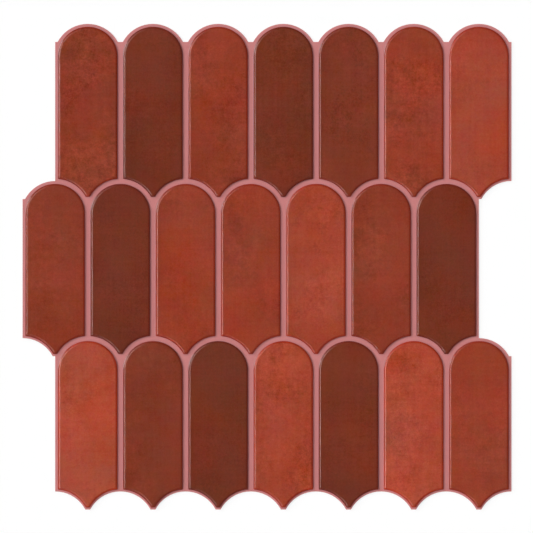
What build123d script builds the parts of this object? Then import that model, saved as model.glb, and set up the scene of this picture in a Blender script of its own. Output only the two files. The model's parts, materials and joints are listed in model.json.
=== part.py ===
"""Self-adhesive wall panel: a die-cut sheet that carries staggered rows of raised feather-shaped tiles.

The panel lies on its adhesive back, face up. +Y is the way the arched heads point on the wall.
"""
from build123d import *
from math import acos, asin, degrees
import os

# Rows of the panel
tiles_per_row = 7
full_rows = ("top", "middle")
short_row = "bottom"

# Cells that the sheet is divided into, millimetres
tile_pitch = 40.0
row_pitch = 96.4
short_row_pitch = 94.1
arch_rise = 11.1
notch_width = 3.0

# Tile inside its cell
joint_width = 3.4
head_centre_drop = 9.0
foot_joint_width = 3.1
tip_width = 2.5

# Thicknesses, and the bevel round a tile's face
sheet_thickness = 0.8
tile_thickness = 1.2
edge_bevel = 0.7

# An arched head spans from notch to notch, and the feet of a cell are the arches of the row below
cell_half = tile_pitch / 2
notch_half = notch_width / 2
arch_half_span = cell_half - notch_half
arch_radius = (arch_half_span**2 + arch_rise**2) / (2 * arch_rise)
arch_centre_drop = arch_radius - arch_rise
panel_height = len(full_rows) * row_pitch + short_row_pitch + arch_rise


def cell_face(pitch_below):
    """Cell outline about the middle of its spring line, the level of the flat notches beside its arch."""
    foot_level = arch_rise - pitch_below
    spring_angle = degrees(acos(arch_half_span / arch_radius))
    foot_sweep = 90 - spring_angle
    foot_centre_y = -pitch_below - arch_centre_drop
    head = CenterArc((0, -arch_centre_drop), arch_radius, spring_angle, 2 * foot_sweep)
    right_foot = CenterArc((cell_half, foot_centre_y), arch_radius, 90, foot_sweep)
    left_foot = CenterArc((-cell_half, foot_centre_y), arch_radius, spring_angle, foot_sweep)
    right_side = Polyline((arch_half_span, 0), (cell_half, 0), (cell_half, foot_level))
    left_side = Polyline((-arch_half_span, 0), (-cell_half, 0), (-cell_half, foot_level))
    tip = Line((notch_half, -pitch_below), (-notch_half, -pitch_below))
    return make_face([*head.edges(), *right_side.edges(), *right_foot.edges(), *tip.edges(),
                      *left_foot.edges(), *left_side.edges()])


def tile_face(pitch_below):
    """Tile outline in the same place: a round head, and feet concentric with the heads of the row below."""
    half = cell_half - joint_width / 2
    tip_half = tip_width / 2
    foot_radius = half + foot_joint_width
    foot_centre_y = -pitch_below - head_centre_drop
    heel_angle = degrees(asin((cell_half - half) / foot_radius))
    tip_angle = degrees(asin((cell_half - tip_half) / foot_radius))
    foot_sweep = tip_angle - heel_angle
    head = CenterArc((0, -head_centre_drop), half, 0, 180)
    right_foot = CenterArc((cell_half, foot_centre_y), foot_radius, 90 + heel_angle, foot_sweep)
    left_foot = CenterArc((-cell_half, foot_centre_y), foot_radius, 90 - tip_angle, foot_sweep)
    right_side = Line(head @ 0, right_foot @ 0)
    left_side = Line(head @ 1, left_foot @ 1)
    tip = Line(right_foot @ 1, left_foot @ 0)
    return make_face([*head.edges(), *right_side.edges(), *right_foot.edges(), *tip.edges(),
                      *left_foot.edges(), *left_side.edges()])


def raised_tile(pitch_below):
    """Tile seated on the sheet, with its upper edge bevelled all round."""
    slab = extrude(Pos(0, 0, sheet_thickness) * tile_face(pitch_below), tile_thickness)
    return chamfer(slab.faces().sort_by(Axis.Z)[-1].edges(), edge_bevel)


def row_places(index):
    """Middles of the cells of a row, each row half a pitch to the side of the one above it."""
    stagger = tile_pitch / 4 if index % 2 == 0 else -tile_pitch / 4
    first = stagger - (tiles_per_row - 1) / 2 * tile_pitch
    spring_y = panel_height / 2 - arch_rise - index * row_pitch
    return [Pos(first + column * tile_pitch, spring_y) for column in range(tiles_per_row)]


os.makedirs("parts", exist_ok=True)
cells = []
for index, row in enumerate([*full_rows, short_row]):
    pitch_below = short_row_pitch if row == short_row else row_pitch
    cell = cell_face(pitch_below)
    tile = raised_tile(pitch_below)
    for column, place in enumerate(row_places(index), start=1):
        cells.append(place * cell)
        export_step(place * tile, f"parts/tile_{row}_{column}.step")

sheet_outline = cells[0].fuse(*cells[1:]).clean()
export_step(extrude(sheet_outline, sheet_thickness), "parts/backing_sheet.step")
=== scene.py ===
"""Self-adhesive wall panel: glazed feather tiles on a grout-coloured sheet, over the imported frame."""

import json
from math import atan2, cos, pi, radians, sin, sqrt

import bmesh
import bpy
import numpy as np
from bpy.props import FloatProperty, FloatVectorProperty, IntProperty, PointerProperty
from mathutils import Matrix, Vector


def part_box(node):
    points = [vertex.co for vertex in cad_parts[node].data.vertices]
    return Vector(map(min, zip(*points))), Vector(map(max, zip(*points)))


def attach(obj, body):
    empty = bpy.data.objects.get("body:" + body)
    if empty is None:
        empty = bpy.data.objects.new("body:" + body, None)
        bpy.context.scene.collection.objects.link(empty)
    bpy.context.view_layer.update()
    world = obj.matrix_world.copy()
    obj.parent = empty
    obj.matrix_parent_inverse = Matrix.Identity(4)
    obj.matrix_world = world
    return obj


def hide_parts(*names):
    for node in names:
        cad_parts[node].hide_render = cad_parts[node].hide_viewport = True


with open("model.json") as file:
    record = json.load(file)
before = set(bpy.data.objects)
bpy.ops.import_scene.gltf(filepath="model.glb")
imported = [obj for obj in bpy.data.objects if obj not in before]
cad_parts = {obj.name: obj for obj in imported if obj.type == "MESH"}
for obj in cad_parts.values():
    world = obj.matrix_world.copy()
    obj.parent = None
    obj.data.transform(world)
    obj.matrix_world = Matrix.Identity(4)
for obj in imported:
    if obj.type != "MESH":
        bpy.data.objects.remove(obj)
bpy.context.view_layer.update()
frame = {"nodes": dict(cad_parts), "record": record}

bl_info = {
    "name": "Self-adhesive Wall Panel",
    "version": (1, 0, 0),
    "blender": (4, 5, 0),
    "location": "3D View > Sidebar > Wall Panel",
    "description": "Finishes a die-cut wall panel with eased, glazed feather tiles and a grout sheet",
    "category": "Object",
}

SHEET = "backing_sheet"

# Strength of the clouding on the tiles that show it most, and on the rest
CLOUDED_TILES = {
    "tile_top_1": 1.6,
    "tile_top_3": 1.2,
    "tile_top_4": 1.0,
    "tile_top_5": 1.0,
    "tile_top_6": 1.5,
    "tile_middle_5": 1.2,
    "tile_middle_6": 1.1,
    "tile_bottom_1": 1.0,
    "tile_bottom_4": 1.4,
    "tile_bottom_6": 1.2,
}
PLAIN_CLOUDING = 0.72

# Shares of red, green and blue by which each field lifts the glaze's colour, and those left on its rim, a
# band of painted shade that is darker and redder along the tile's edge
TONE_SHARES = (1.0, 1.12, 1.46)
PLUM_SHARES = (-0.94, 1.17, 3.07)
MAGENTA_SHARES = (0.27, -2.69, 2.23)
# The flecks' shares lean white, so besides the glaze's specks they also stand in as painted glints
FLECK_AND_GLINT_SHARES = (0.8, 1.5, 2.3)
SHADED_RIM_SHARES = (0.86, 0.4, 0.19)

# Step between the seeds of the glaze's fields, noise level at which a patch is full, and a speck's relief
SEED_STEP = 50
PATCH_REACH = 0.16
SPECK_RELIEF = 0.35

# Strength of the bump in glaze and sheet
BUMP_STRENGTH = 0.5

# Points along each stretch of half a tile's outline
OUTLINE_POINTS = {"head": 36, "side": 30, "heel": 6, "foot": 24, "tip corner": 5, "tip": 3}

# Rings over a tile's shoulder and over its face, and waves in the face
SHOULDER_RINGS = 11
FACE_RINGS = 14
WAVES = 3

# Distance in metres under which points are merged, and angle past which an edge is sharp
MERGE_DISTANCE = 1e-7
CREASE_ANGLE = radians(50)


def srgb(red, green, blue):
    """Scene-linear colour of an 8-bit sRGB colour."""
    value = np.array((red, green, blue)) / 255
    return tuple(np.where(value <= 0.04045, value / 12.92, ((value + 0.055) / 1.055) ** 2.4).tolist())


def length(name, default, description):
    """Length property in metres."""
    return FloatProperty(
        name=name, description=description, default=default, min=0, precision=5, unit="LENGTH"
    )


def offset(name, default, description):
    """Place property in metres, to either side of the middle."""
    return FloatProperty(name=name, description=description, default=default, precision=5, unit="LENGTH")


def angle(name, default, description):
    """Angle property, its default given in degrees."""
    return FloatProperty(name=name, description=description, default=radians(default), subtype="ANGLE")


def level(name, default, description):
    """Level property, a plain number from none upwards."""
    return FloatProperty(name=name, description=description, default=default, min=0)


def share(name, default, description):
    """Share property, from none to all."""
    return FloatProperty(name=name, description=description, default=default, min=0, max=1, subtype="FACTOR")


def colour(name, default, description):
    """Colour property, its default given as 8-bit sRGB."""
    return FloatVectorProperty(
        name=name, description=description, default=srgb(*default), min=0, max=1, size=3, subtype="COLOR"
    )


class TileShape(bpy.types.PropertyGroup):
    """Sizes of a tile that its box in the frame doesn't give."""

    foot_joint: length("Foot Joint", 0.0031, "Joint between a foot and the round head that it follows")
    tip_width: length("Tip Width", 0.0025, "Width of the flat end of the foot")
    roll_height: length("Roll Height", 0.0005, "Height of the eased shoulder above the upright edge")
    roll_reach: length("Roll Reach", 0.0018, "How far the eased shoulder reaches in over the face")
    corner_radius: length("Corner Radius", 0.0005, "Rounding of the heels and of the tip's corners")
    least_corner: length("Least Corner", 0.0001, "Rounding left at those corners where the shoulder ends")
    crown: length("Crown", 0.00006, "Rise of the middle of the face above its edge")
    ripple: length("Ripple", 0.00003, "Height of the long waves in the face")
    shortest_wave: length("Shortest Wave", 0.022, "Length of the shortest of those waves")
    longest_wave: length("Longest Wave", 0.05, "Length of the longest of those waves")
    calm_edge: share("Calm Edge", 1 / 3, "Share of the way to the middle over which the waves fade in")
    seat_depth: length("Seat Depth", 0.00002, "How far the tile is bedded into the sheet")
    seed: IntProperty(name="Seed", description="Seed of the waves and clouding", default=7, min=0)


class TileFinish(bpy.types.PropertyGroup):
    """Colours of the glazes, and how they shine."""

    umber: colour("Umber", (113, 49, 32), "Darkest glaze")
    chestnut: colour("Chestnut", (125, 54, 36), "Dark glaze")
    russet: colour("Russet", (138, 58, 39), "Middle glaze")
    brick: colour("Brick", (146, 61, 41), "Warm middle glaze")
    terracotta: colour("Terracotta", (158, 67, 47), "Light glaze")
    ember: colour("Ember", (166, 72, 51), "Lightest glaze")
    roughness: share("Roughness", 0.18, "Roughness of the glaze")
    gloss: share("Gloss", 0.38, "Specular level of the glaze")
    relief: length("Relief", 0.00004, "Depth of the fine relief in the glaze")


class GlazeClouding(bpy.types.PropertyGroup):
    """Sizes of the patterns in the glaze, and how strongly each one shows."""

    drift_size: length("Drift Size", 0.038, "Size of the slow changes of tone and hue")
    mottle_size: length("Mottle Size", 0.0143, "Size of the largest clouds of the mottle")
    patch_size: length("Patch Size", 0.031, "Size of the patches in which the mottle comes and goes")
    speck_size: length("Speck Size", 0.0009, "Size of the fine specks")
    thread_width: length("Thread Width", 0.0016, "Width of the faint crossing threads")
    thread_length: length("Thread Length", 0.036, "Length of the threads")
    tone_drift: level("Tone Drift", 0.47, "Strength of the slow changes of tone")
    tone_mottle: level("Tone Mottle", 0.92, "Strength of the mottle")
    patchiness: share("Patchiness", 0.65, "How much of the mottle comes and goes")
    plum_drift: level("Plum Drift", 0.26, "Strength of the slow turn from orange to plum")
    plum_mottle: level("Plum Mottle", 0.45, "Strength of that turn in the mottle")
    magenta_drift: level("Magenta Drift", 0.07, "Strength of the slow turn from olive to magenta")
    magenta_mottle: level("Magenta Mottle", 0.3, "Strength of that turn in the mottle")
    speck: level("Speck", 0.33, "Strength of the specks")
    thread: level("Thread", 0.14, "Strength of the threads")
    gloss_change: level("Gloss Change", 0.12, "How far the roughness follows the mottle")
    # The rim's width and fade lay the band of painted shade along the tile's edge
    rim_width: length("Rim Width", 0.0008, "Width of the deeper rim")
    rim_fade: length("Rim Fade", 0.0008, "Width over which the rim fades into the face")


class SheetFinish(bpy.types.PropertyGroup):
    """Colours and grain of the sheet."""

    grout: colour("Grout", (194, 122, 121), "Face and edge of the sheet")
    paper: colour("Release Paper", (226, 221, 210), "Back of the sheet")
    paper_edge: length("Paper Edge", 0.00008, "Height up to which the edge shows the paper")
    cast_size: length("Cast Size", 0.011, "Size of the slow changes of tone")
    grain_size: length("Grain Size", 0.00067, "Size of the fine grain")
    cast: level("Cast", 0.1, "Strength of the slow changes of tone")
    grain: level("Grain", 0.16, "Strength of the grain")
    relief: length("Relief", 0.00005, "Depth of the grain")
    roughness: share("Roughness", 0.7, "Roughness of the sheet")
    gloss: share("Gloss", 0.25, "Specular level of the sheet")


class StudioSetup(bpy.types.PropertyGroup):
    """Sizes and levels of the stage."""

    camera_height: length("Camera Height", 2.4, "Height of the camera above the floor")
    view_width: length("View Width", 0.32705, "Width that the picture spans at the panel")
    aim_x: offset("Aim X", -0.00032, "Camera's place across")
    aim_y: offset("Aim Y", 0.00013, "Camera's place along")
    floor: colour("Floor", (252, 252, 252), "Plain floor")
    floor_size: length("Floor Size", 30, "Side of the floor")
    floor_glow: share("Floor Glow", 0.7, "Share of plain white in the floor where it is seen")
    bedding: length("Bedding", 0.00005, "How far the panel's back beds into the floor")
    key_level: level("Key Level", 0.32, "Share of the light on the faces that the broad key gives")
    key_height: angle("Key Height", 27, "Angle of the key above the floor")
    key_turn: angle("Key Turn", 18, "Angle of the key from due left towards the top")
    key_spread: angle("Key Spread", 30, "Apparent width of the key")
    arc: level("Arc", 17, "Strength of the narrow arc light on the left")
    arc_height: angle("Arc Height", 62, "Angle of the arc light above the floor")
    arc_spread: angle("Arc Spread", 7, "Apparent height of the arc light")
    arc_core: share("Arc Core", 0.6, "Share of that height at full strength")
    arc_reach: angle("Arc Reach", 84, "How far the arc light runs to either side of due left")
    arc_falloff: level("Arc Falloff", 1.5, "How fast the arc light fades towards its ends")
    horizon: level("Horizon", 0.15, "Level of the surroundings at the horizon")
    horizon_top: angle("Horizon Top", 9, "Height up to which they stay at that level")
    ring: level("Ring", 0.48, "Level of the soft ring half way up")
    ring_foot: angle("Ring Foot", 24, "Height at which the ring starts")
    ring_top: angle("Ring Top", 53, "Height at which the ring ends")
    zenith: level("Zenith", 0.04, "Level of the surroundings overhead")
    zenith_foot: angle("Zenith Foot", 76, "Height from which they stay at that level")


def place(tree, kind, feeds=(), **options):
    """Adds a node, sets its options, and gives its inputs values or other nodes' outputs."""
    node = tree.nodes.new(kind)
    for option, value in options.items():
        setattr(node, option, value)
    for name, value in dict(feeds).items():
        if isinstance(value, bpy.types.NodeSocket):
            tree.links.new(value, node.inputs[name])
        else:
            node.inputs[name].default_value = value
    return node


def maths(tree, operation, *values):
    """Output of a Math node fed with the values in order."""
    return place(tree, "ShaderNodeMath", enumerate(values), operation=operation).outputs[0]


def vector_maths(tree, operation, *values):
    """Output of a Vector Math node fed with the values in order."""
    return place(tree, "ShaderNodeVectorMath", enumerate(values), operation=operation).outputs[0]


def weighted(tree, *pairs):
    """Sum of fields, each times its weight."""
    total = 0.0
    for field, weight in pairs:
        total = maths(tree, "MULTIPLY_ADD", field, weight, total)
    return total


def eased(tree, value, start, end, low=0.0, high=1.0):
    """Value that eases from low to high as the given one goes from start to end."""
    feeds = {"Value": value, "From Min": start, "From Max": end, "To Min": low, "To Max": high}
    return place(tree, "ShaderNodeMapRange", feeds, interpolation_type="SMOOTHSTEP").outputs[0]


def mixed(tree, factor, first, second):
    """Mix of two colours by a factor: the node's colour sockets are inputs 6 and 7 and output 2."""
    return place(tree, "ShaderNodeMix", {0: factor, 6: first, 7: second}, data_type="RGBA").outputs[2]


def noise(tree, vector, size, detail, roughness, seed=0.0):
    """Noise about zero, from roughly -0.5 to 0.5, with clouds of the given size."""
    feeds = {"Vector": vector, "W": seed, "Scale": 1 / size, "Detail": detail, "Roughness": roughness}
    texture = place(tree, "ShaderNodeTexNoise", feeds, noise_dimensions="4D")
    return maths(tree, "SUBTRACT", texture.outputs[0], 0.5)


def attribute(tree, name):
    """Value of a mesh attribute."""
    return place(tree, "ShaderNodeAttribute", attribute_name=name).outputs["Fac"]


def object_place(tree):
    """Place of a point in the panel's own frame."""
    return place(tree, "ShaderNodeTexCoord").outputs["Object"]


def bumped(tree, height, depth):
    """Normal that a height field of the given depth bumps."""
    feeds = {"Height": height, "Distance": depth, "Strength": BUMP_STRENGTH}
    return place(tree, "ShaderNodeBump", feeds).outputs[0]


def new_group(name, inputs, outputs):
    """Shader node group with the named sockets, and its input and output nodes."""
    group = bpy.data.node_groups.new(name, "ShaderNodeTree")
    for direction, sockets in (("INPUT", inputs), ("OUTPUT", outputs)):
        for label, kind in sockets.items():
            group.interface.new_socket(label, in_out=direction, socket_type=f"NodeSocket{kind}")
    return group, group.nodes.new("NodeGroupInput"), group.nodes.new("NodeGroupOutput")


def new_material(name):
    """Material with its node tree and its shader."""
    material = bpy.data.materials.new(name)
    material.use_nodes = True
    return material, material.node_tree, material.node_tree.nodes["Principled BSDF"]


def glaze_group(clouding):
    """Clouded glaze: its tone and hue drift, mottle and flecks, and painted shade darkens and reddens it on
    the eased edge.

    Each field is a sum of weighted noises about zero. The tone is a slow drift and a mottle of equal
    strength at every size, which comes and goes in patches. Plum and magenta are like sums from other
    seeds, and the flecks are fine specks and faint crossing threads, tinted whiter so that they also stand
    in for painted glints. Body and the rim of painted shade, darker and redder, are mixed by the distance
    from the tile's edge, and red, green and blue are scaled by one plus their shares of every field.
    """
    tree, given, result = new_group(
        "Clouded Glaze",
        {"Body": "Color", "Rim": "Color", "Roughness": "Float"},
        {"Color": "Color", "Roughness": "Float", "Height": "Float"},
    )
    where = object_place(tree)
    seed = attribute(tree, "seed")
    # Tone, plum and magenta have a seed each
    seeds = [maths(tree, "ADD", seed, SEED_STEP * index) for index in range(3)]
    drifts = [
        noise(tree, where, clouding.drift_size, detail=1, roughness=0.5, seed=each) for each in seeds
    ]
    mottles = [
        noise(tree, where, clouding.mottle_size, detail=5, roughness=1.0, seed=each) for each in seeds
    ]
    patch = noise(tree, where, clouding.patch_size, detail=2, roughness=0.5, seed=seeds[2])
    least, most = 1 - clouding.patchiness, 1 + clouding.patchiness
    presence = eased(tree, patch, -PATCH_REACH, PATCH_REACH, least, most)
    strength = maths(tree, "MULTIPLY", attribute(tree, "clouding"), presence)
    clouds = maths(tree, "MULTIPLY", mottles[0], strength)
    speck = noise(tree, where, clouding.speck_size, detail=1, roughness=0.6, seed=seed)
    fine, coarse = 1 / clouding.thread_width, 1 / clouding.thread_length
    threads = []
    for scale in ((fine, coarse, 1), (coarse, fine, 1)):
        stretched = place(tree, "ShaderNodeMapping", {"Vector": where, "Scale": scale}).outputs[0]
        threads.append(noise(tree, stretched, 1, detail=1, roughness=0.5, seed=seed))

    tone = weighted(tree, (clouds, clouding.tone_mottle), (drifts[0], clouding.tone_drift))
    plum = weighted(tree, (mottles[1], clouding.plum_mottle), (drifts[1], clouding.plum_drift))
    magenta = weighted(tree, (mottles[2], clouding.magenta_mottle), (drifts[2], clouding.magenta_drift))
    # Flecks: fine specks and threads of the glaze, whitened so that they also act as painted glints
    fleck_and_glint = weighted(tree, (speck, clouding.speck), *((thread, clouding.thread) for thread in threads))
    fields = (
        (tone, TONE_SHARES),
        (plum, PLUM_SHARES),
        (magenta, MAGENTA_SHARES),
        (fleck_and_glint, FLECK_AND_GLINT_SHARES),
    )
    change = (1, 1, 1)
    for field, shares in fields:
        change = vector_maths(tree, "MULTIPLY_ADD", field, shares, change)

    # Painted shade: near the tile's edge the body turns to the darker, redder rim
    shaded_rim_end = clouding.rim_width + clouding.rim_fade
    rim = eased(tree, attribute(tree, "edge"), shaded_rim_end, clouding.rim_width)
    whole = mixed(tree, rim, given.outputs["Body"], given.outputs["Rim"])
    roughness = maths(tree, "MULTIPLY_ADD", mottles[0], clouding.gloss_change, given.outputs["Roughness"])
    height = weighted(tree, (mottles[0], 1), (speck, SPECK_RELIEF))
    tree.links.new(vector_maths(tree, "MULTIPLY", whole, change), result.inputs["Color"])
    tree.links.new(roughness, result.inputs["Roughness"])
    tree.links.new(height, result.inputs["Height"])
    return tree


def glaze_material(slot, finish, group):
    """Satin glaze in the colour that its slot names."""
    material, tree, shader = new_material(slot)
    body = getattr(finish, slot.removesuffix("_glaze"))
    # The rim is the body darkened and reddened, painted shade along the tile's edge
    rim = [part * channel for part, channel in zip(SHADED_RIM_SHARES, body)]
    feeds = {"Body": (*body, 1), "Rim": (*rim, 1), "Roughness": finish.roughness}
    glaze = place(tree, "ShaderNodeGroup", feeds, node_tree=group)
    tree.links.new(glaze.outputs["Color"], shader.inputs["Base Color"])
    tree.links.new(glaze.outputs["Roughness"], shader.inputs["Roughness"])
    tree.links.new(bumped(tree, glaze.outputs["Height"], finish.relief), shader.inputs["Normal"])
    shader.inputs["Specular IOR Level"].default_value = finish.gloss
    return material


def sheet_material(finish):
    """Matt vinyl with a fine cast grain on the face, and plain release paper on the back."""
    material, tree, shader = new_material("grout_vinyl_cast")
    where = object_place(tree)
    height = place(tree, "ShaderNodeSeparateXYZ", {0: where}).outputs["Z"]
    back = maths(tree, "LESS_THAN", height, finish.paper_edge)
    stock = mixed(tree, back, (*finish.grout, 1), (*finish.paper, 1))
    cast = noise(tree, where, finish.cast_size, detail=3, roughness=0.6)
    grain = noise(tree, where, finish.grain_size, detail=2, roughness=0.6)
    change = maths(tree, "ADD", weighted(tree, (cast, finish.cast), (grain, finish.grain)), 1.0)
    tree.links.new(vector_maths(tree, "MULTIPLY", stock, change), shader.inputs["Base Color"])
    tree.links.new(bumped(tree, grain, finish.relief), shader.inputs["Normal"])
    shader.inputs["Roughness"].default_value = finish.roughness
    shader.inputs["Specular IOR Level"].default_value = finish.gloss
    return material


def arc(centre, radius, start, end, count):
    """Points along an arc: the centre plus the radius times (cos a, sin a), a even from start to end."""
    turn = np.linspace(start, end, count, endpoint=False)
    return np.array(centre) + radius * np.stack((np.cos(turn), np.sin(turn)), axis=1)


def line(start, end, count):
    """Points along a straight run: the start plus an even share of the way to the end."""
    return np.linspace(start, end, count, endpoint=False)


def feather_outline(half, crown_y, tip_y, foot_x, inset, shape):
    """Closed outline of a tile about its middle line, clockwise from the crown, moved inwards by the inset.

    The right half is a quarter circle for the head, the straight side, a rounded heel, a hollow arc about
    a centre foot_x to the side, a rounded tip corner and the flat tip. The left half is its mirror image.
    Moving it inwards keeps the centres of head and hollow, takes the inset off the head's radius and adds
    it to the hollow's.
    """
    head_y = crown_y - half
    foot_radius = half + shape.foot_joint
    foot = (foot_x, tip_y - sqrt(foot_radius**2 - (foot_x - shape.tip_width / 2) ** 2))
    corner = max(shape.corner_radius - inset, shape.least_corner)
    side = half - inset
    end = tip_y + inset
    hollow = foot_radius + inset
    heel = (side - corner, foot[1] + sqrt((hollow + corner) ** 2 - (foot_x - side + corner) ** 2))
    heel_end = atan2(foot[1] - heel[1], foot_x - heel[0])
    tip = (foot_x - sqrt((hollow + corner) ** 2 - (end + corner - foot[1]) ** 2), end + corner)
    tip_start = atan2(foot[1] - tip[1], foot_x - tip[0])
    points = OUTLINE_POINTS
    right = np.concatenate(
        (
            arc((0, head_y), side, pi / 2, 0, points["head"]),
            line((side, head_y), (side, heel[1]), points["side"]),
            arc(heel, corner, 0, heel_end, points["heel"]),
            arc(foot, hollow, heel_end + pi, tip_start + pi, points["foot"]),
            arc(tip, corner, tip_start, -pi / 2, points["tip corner"]),
            line((tip[0], end), (0, end), points["tip"]),
            ((0, end),),
        )
    )
    return np.concatenate((right, right[-2:0:-1] * (-1, 1)))


def feather_grid(low, high, foot_x, shape, random):
    """Grid of rings that makes the closed tile in its box, and each point's distance from the edge.

    The rings climb the upright edge, then ease over the shoulder along a parabola that is level where it
    meets the face, then cross the face to a spine on the middle line. On the face the height gains a crown
    that rises as one minus the square of the share still to go, and slow sine waves that fade in from the
    edge. The first ring is the spine on the underside.
    """
    ease = np.linspace(0, 1, SHOULDER_RINGS)
    inset = np.concatenate(((0, 0), shape.roll_reach * ease))
    foot = low.z - shape.seat_depth
    wall = high.z - shape.roll_height
    rise = np.concatenate(((foot, foot), wall + shape.roll_height * (1 - (1 - ease) ** 2)))
    width = (high.x - low.x) / 2
    rings = np.stack([feather_outline(width, high.y, low.y, foot_x, distance, shape) for distance in inset])
    rim = rings[-1]
    half = rim[:, 0].max()
    spine_y = np.clip(rim[:, 1], rim[:, 1].min() + half, rim[:, 1].max() - half)
    spine = np.stack((np.zeros_like(spine_y), spine_y), axis=1)
    progress = np.linspace(0, 1, FACE_RINGS + 1)[1:, None]
    face = rim + progress[..., None] * (spine - rim)

    bearing = random.uniform(0, pi, WAVES)
    phase = random.uniform(0, 2 * pi, WAVES)
    wave = 2 * pi / random.uniform(shape.shortest_wave, shape.longest_wave, WAVES)
    across = face[..., :1] * np.cos(bearing) + face[..., 1:] * np.sin(bearing)
    waves = np.sin(wave * across + phase).mean(axis=-1) * np.clip(progress / shape.calm_edge, 0, 1)
    lift = shape.crown * (1 - (1 - progress) ** 2) + shape.ripple * waves

    around = np.ones(len(rim))
    to_spine = np.linalg.norm(spine - rim, axis=1)
    plan = np.concatenate((spine[None], rings[1:], face))
    plan[..., 0] += (low.x + high.x) / 2
    height = np.concatenate((rise[:, None] * around, high.z + lift))
    edge = np.concatenate((inset[:, None] * around, shape.roll_reach + progress * to_spine))
    return np.concatenate((plan, height[..., None]), axis=2), edge


def grid_mesh(name, grid, layers):
    """Mesh of a grid whose rows close on themselves, with point layers, merged where rows fall together."""
    rows, columns = grid.shape[:2]
    index = np.arange(rows * columns).reshape(rows, columns)
    ahead = np.roll(index, -1, axis=1)
    quads = np.stack((index[:-1], index[1:], ahead[1:], ahead[:-1]), axis=-1).reshape(-1, 4)
    mesh = bpy.data.meshes.new(name)
    mesh.from_pydata(grid.reshape(-1, 3).tolist(), [], quads.tolist())
    for layer, values in layers.items():
        stored = mesh.attributes.new(layer, "FLOAT", "POINT")
        stored.data.foreach_set("value", np.broadcast_to(values, (rows, columns)).astype(np.float32).ravel())
    shell = bmesh.new()
    shell.from_mesh(mesh)
    bmesh.ops.remove_doubles(shell, verts=shell.verts, dist=MERGE_DISTANCE)
    bmesh.ops.recalc_face_normals(shell, faces=shell.faces)
    shell.to_mesh(mesh)
    shell.free()
    mesh.shade_smooth()
    mesh.set_sharp_from_angle(angle=CREASE_ANGLE)
    return mesh


class WALLPANEL_OT_raise_tiles(bpy.types.Operator):
    """Replace each tile of the frame by an eased, glazed one of the same outline"""

    bl_idname = "wall_panel.raise_tiles"
    bl_label = "Raise Tiles"

    def execute(self, context):
        scene = context.scene
        shape = scene.tile_shape
        random = np.random.default_rng(shape.seed)
        subparts = frame["record"]["subparts"]
        slots = {part["node"]: part["material_slot"] for part in subparts if part["node"] != SHEET}
        if not slots:
            raise RuntimeError("The frame has no tiles to replace")
        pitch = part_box("tile_top_2")[0].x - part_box("tile_top_1")[0].x
        group = glaze_group(scene.glaze_clouding)
        used = sorted(set(slots.values()))
        glazes = {slot: glaze_material(slot, scene.tile_finish, group) for slot in used}
        for node, slot in slots.items():
            name = f"glazed_{node}"
            grid, edge = feather_grid(*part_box(node), pitch / 2, shape, random)
            layers = {
                "edge": edge,
                "seed": random.uniform(0, SEED_STEP),
                "clouding": CLOUDED_TILES.get(node, PLAIN_CLOUDING),
            }
            tile = bpy.data.objects.new(name, grid_mesh(name, grid, layers))
            tile.data.materials.append(glazes[slot])
            context.collection.objects.link(tile)
            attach(tile, "root")
            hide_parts(node)
        return {"FINISHED"}


class WALLPANEL_OT_finish_sheet(bpy.types.Operator):
    """Give the sheet its cast grout face and its paper back"""

    bl_idname = "wall_panel.finish_sheet"
    bl_label = "Finish Sheet"

    def execute(self, context):
        sheet = frame["nodes"][SHEET]
        material = sheet_material(context.scene.sheet_finish)
        for slot in sheet.material_slots:
            slot.material = material
        return {"FINISHED"}


def plain_floor(studio):
    """Square floor that is nearly white by itself where it is seen, and still takes the panel's shadow."""
    half = studio.floor_size / 2
    corners = [(-half, -half), (half, -half), (half, half), (-half, half)]
    mesh = bpy.data.meshes.new("floor")
    mesh.from_pydata([(x, y, studio.bedding) for x, y in corners], [], [(0, 1, 2, 3)])
    material = bpy.data.materials.new("floor")
    material.use_nodes = True
    tree = material.node_tree
    tree.nodes.clear()
    matt = place(tree, "ShaderNodeBsdfDiffuse", {"Color": (*studio.floor, 1)})
    white = place(tree, "ShaderNodeEmission", {"Strength": 1.0})
    path = place(tree, "ShaderNodeLightPath")
    rays = ("Is Camera Ray", "Is Glossy Ray", "Is Transmission Ray")
    glow = weighted(tree, *((path.outputs[ray], studio.floor_glow) for ray in rays))
    both = place(tree, "ShaderNodeMixShader", {0: glow, 1: matt.outputs[0], 2: white.outputs[0]})
    place(tree, "ShaderNodeOutputMaterial", {"Surface": both.outputs[0]})
    mesh.materials.append(material)
    return bpy.data.objects.new("floor", mesh)


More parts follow.
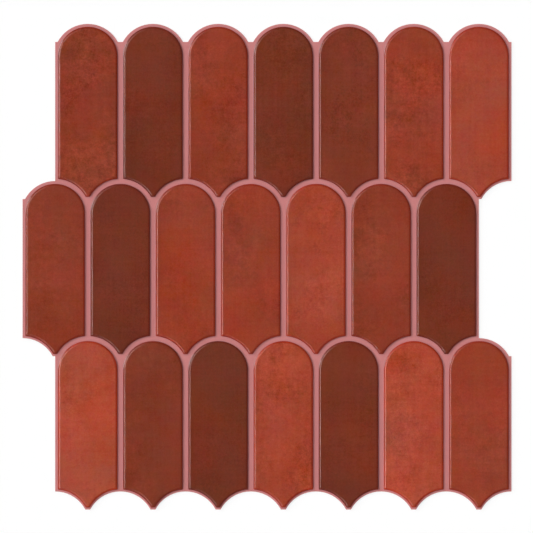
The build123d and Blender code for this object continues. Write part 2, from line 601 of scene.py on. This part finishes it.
def studio_world(studio):
    """Surroundings with a soft ring half way up and a narrow arc light on the left, mirrored at the floor.

    The ring's level is a ramp over the sine of a direction's height. The arc is full where that sine lies
    in the core of its band, and fades from there to the band's edges and, by a power, from due left to the
    arc's ends.
    """
    world = bpy.data.worlds.new("studio")
    world.use_nodes = True
    tree = world.node_tree
    around = place(tree, "ShaderNodeTexCoord").outputs["Generated"]
    axes = place(tree, "ShaderNodeSeparateXYZ", {0: around}).outputs
    height = maths(tree, "ABSOLUTE", axes["Z"])
    ramp = place(tree, "ShaderNodeValToRGB", {"Fac": height})
    stops = (
        (studio.horizon_top, studio.horizon),
        (studio.ring_foot, studio.ring),
        (studio.ring_top, studio.ring),
        (studio.zenith_foot, studio.zenith),
    )
    elements = ramp.color_ramp.elements
    while len(elements) < len(stops):
        elements.new(0)
    for element, (stop_height, strength) in zip(elements, stops):
        element.position = sin(stop_height)
        element.color = (strength, strength, strength, 1)

    out = cos(studio.arc_height)
    half_band = out * studio.arc_spread / 2
    off = maths(tree, "ABSOLUTE", maths(tree, "SUBTRACT", height, sin(studio.arc_height)))
    band = eased(tree, off, half_band, studio.arc_core * half_band)
    feeds = {"Value": axes["X"], "From Min": -out * cos(studio.arc_reach), "From Max": -out}
    nearness = place(tree, "ShaderNodeMapRange", feeds).outputs[0]
    side = maths(tree, "POWER", nearness, studio.arc_falloff)
    light = maths(tree, "MULTIPLY", band, side)
    background = tree.nodes["Background"]
    background.inputs["Color"].default_value = (1, 1, 1, 1)
    strength = maths(tree, "MULTIPLY_ADD", light, studio.arc, ramp.outputs[0])
    tree.links.new(strength, background.inputs["Strength"])
    return world


def key_lamp(studio):
    """Broad sun from the left, its energy such that it gives its share of the light on level faces."""
    light = bpy.data.lights.new("key", "SUN")
    light.energy = studio.key_level * pi / sin(studio.key_height)
    light.angle = studio.key_spread
    lamp = bpy.data.objects.new("key", light)
    lamp.rotation_euler = (0, studio.key_height - pi / 2, -studio.key_turn)
    return lamp


def overhead_camera(studio):
    """Camera that looks straight down, with a lens that spans the view's width at the sheet's face."""
    lens = bpy.data.cameras.new("camera")
    lens.lens = lens.sensor_width * (studio.camera_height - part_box(SHEET)[1].z) / studio.view_width
    camera = bpy.data.objects.new("camera", lens)
    camera.location = (studio.aim_x, studio.aim_y, studio.camera_height)
    return camera


class WALLPANEL_OT_set_stage(bpy.types.Operator):
    """Set a plain floor, soft surroundings, a key light from the left and a camera overhead"""

    bl_idname = "wall_panel.set_stage"
    bl_label = "Set Stage"

    def execute(self, context):
        scene = context.scene
        studio = scene.studio_setup
        floor = plain_floor(studio)
        camera = overhead_camera(studio)
        for thing in (floor, key_lamp(studio), camera):
            context.collection.objects.link(thing)
        scene.world = studio_world(studio)
        scene.camera = camera
        scene.view_settings.view_transform = "Standard"
        return {"FINISHED"}


class WALLPANEL_PT_sidebar(bpy.types.Panel):
    """Steps and settings of the wall panel"""

    bl_idname = "WALLPANEL_PT_sidebar"
    bl_label = "Wall Panel"
    bl_space_type = "VIEW_3D"
    bl_region_type = "UI"
    bl_category = "Wall Panel"

    def draw(self, context):
        scene = context.scene
        steps = (
            (WALLPANEL_OT_raise_tiles, (scene.tile_shape, scene.tile_finish, scene.glaze_clouding)),
            (WALLPANEL_OT_finish_sheet, (scene.sheet_finish,)),
            (WALLPANEL_OT_set_stage, (scene.studio_setup,)),
        )
        for operator, groups in steps:
            column = self.layout.column(align=True)
            for settings in groups:
                for name in type(settings).__annotations__:
                    column.prop(settings, name)
            column.operator(operator.bl_idname)


SETTINGS = {
    "tile_shape": TileShape,
    "tile_finish": TileFinish,
    "glaze_clouding": GlazeClouding,
    "sheet_finish": SheetFinish,
    "studio_setup": StudioSetup,
}
CLASSES = (
    *SETTINGS.values(),
    WALLPANEL_OT_raise_tiles,
    WALLPANEL_OT_finish_sheet,
    WALLPANEL_OT_set_stage,
    WALLPANEL_PT_sidebar,
)


def register():
    """Registers the classes and hangs their settings on the scene."""
    for cls in CLASSES:
        bpy.utils.register_class(cls)
    for name, settings in SETTINGS.items():
        setattr(bpy.types.Scene, name, PointerProperty(type=settings))


def unregister():
    """Takes the settings and the classes away again."""
    for name in SETTINGS:
        delattr(bpy.types.Scene, name)
    for cls in reversed(CLASSES):
        bpy.utils.unregister_class(cls)


def main():
    """Builds the panel and its stage."""
    register()
    bpy.ops.wall_panel.raise_tiles()
    bpy.ops.wall_panel.finish_sheet()
    bpy.ops.wall_panel.set_stage()


if __name__ == "__main__":
    main()
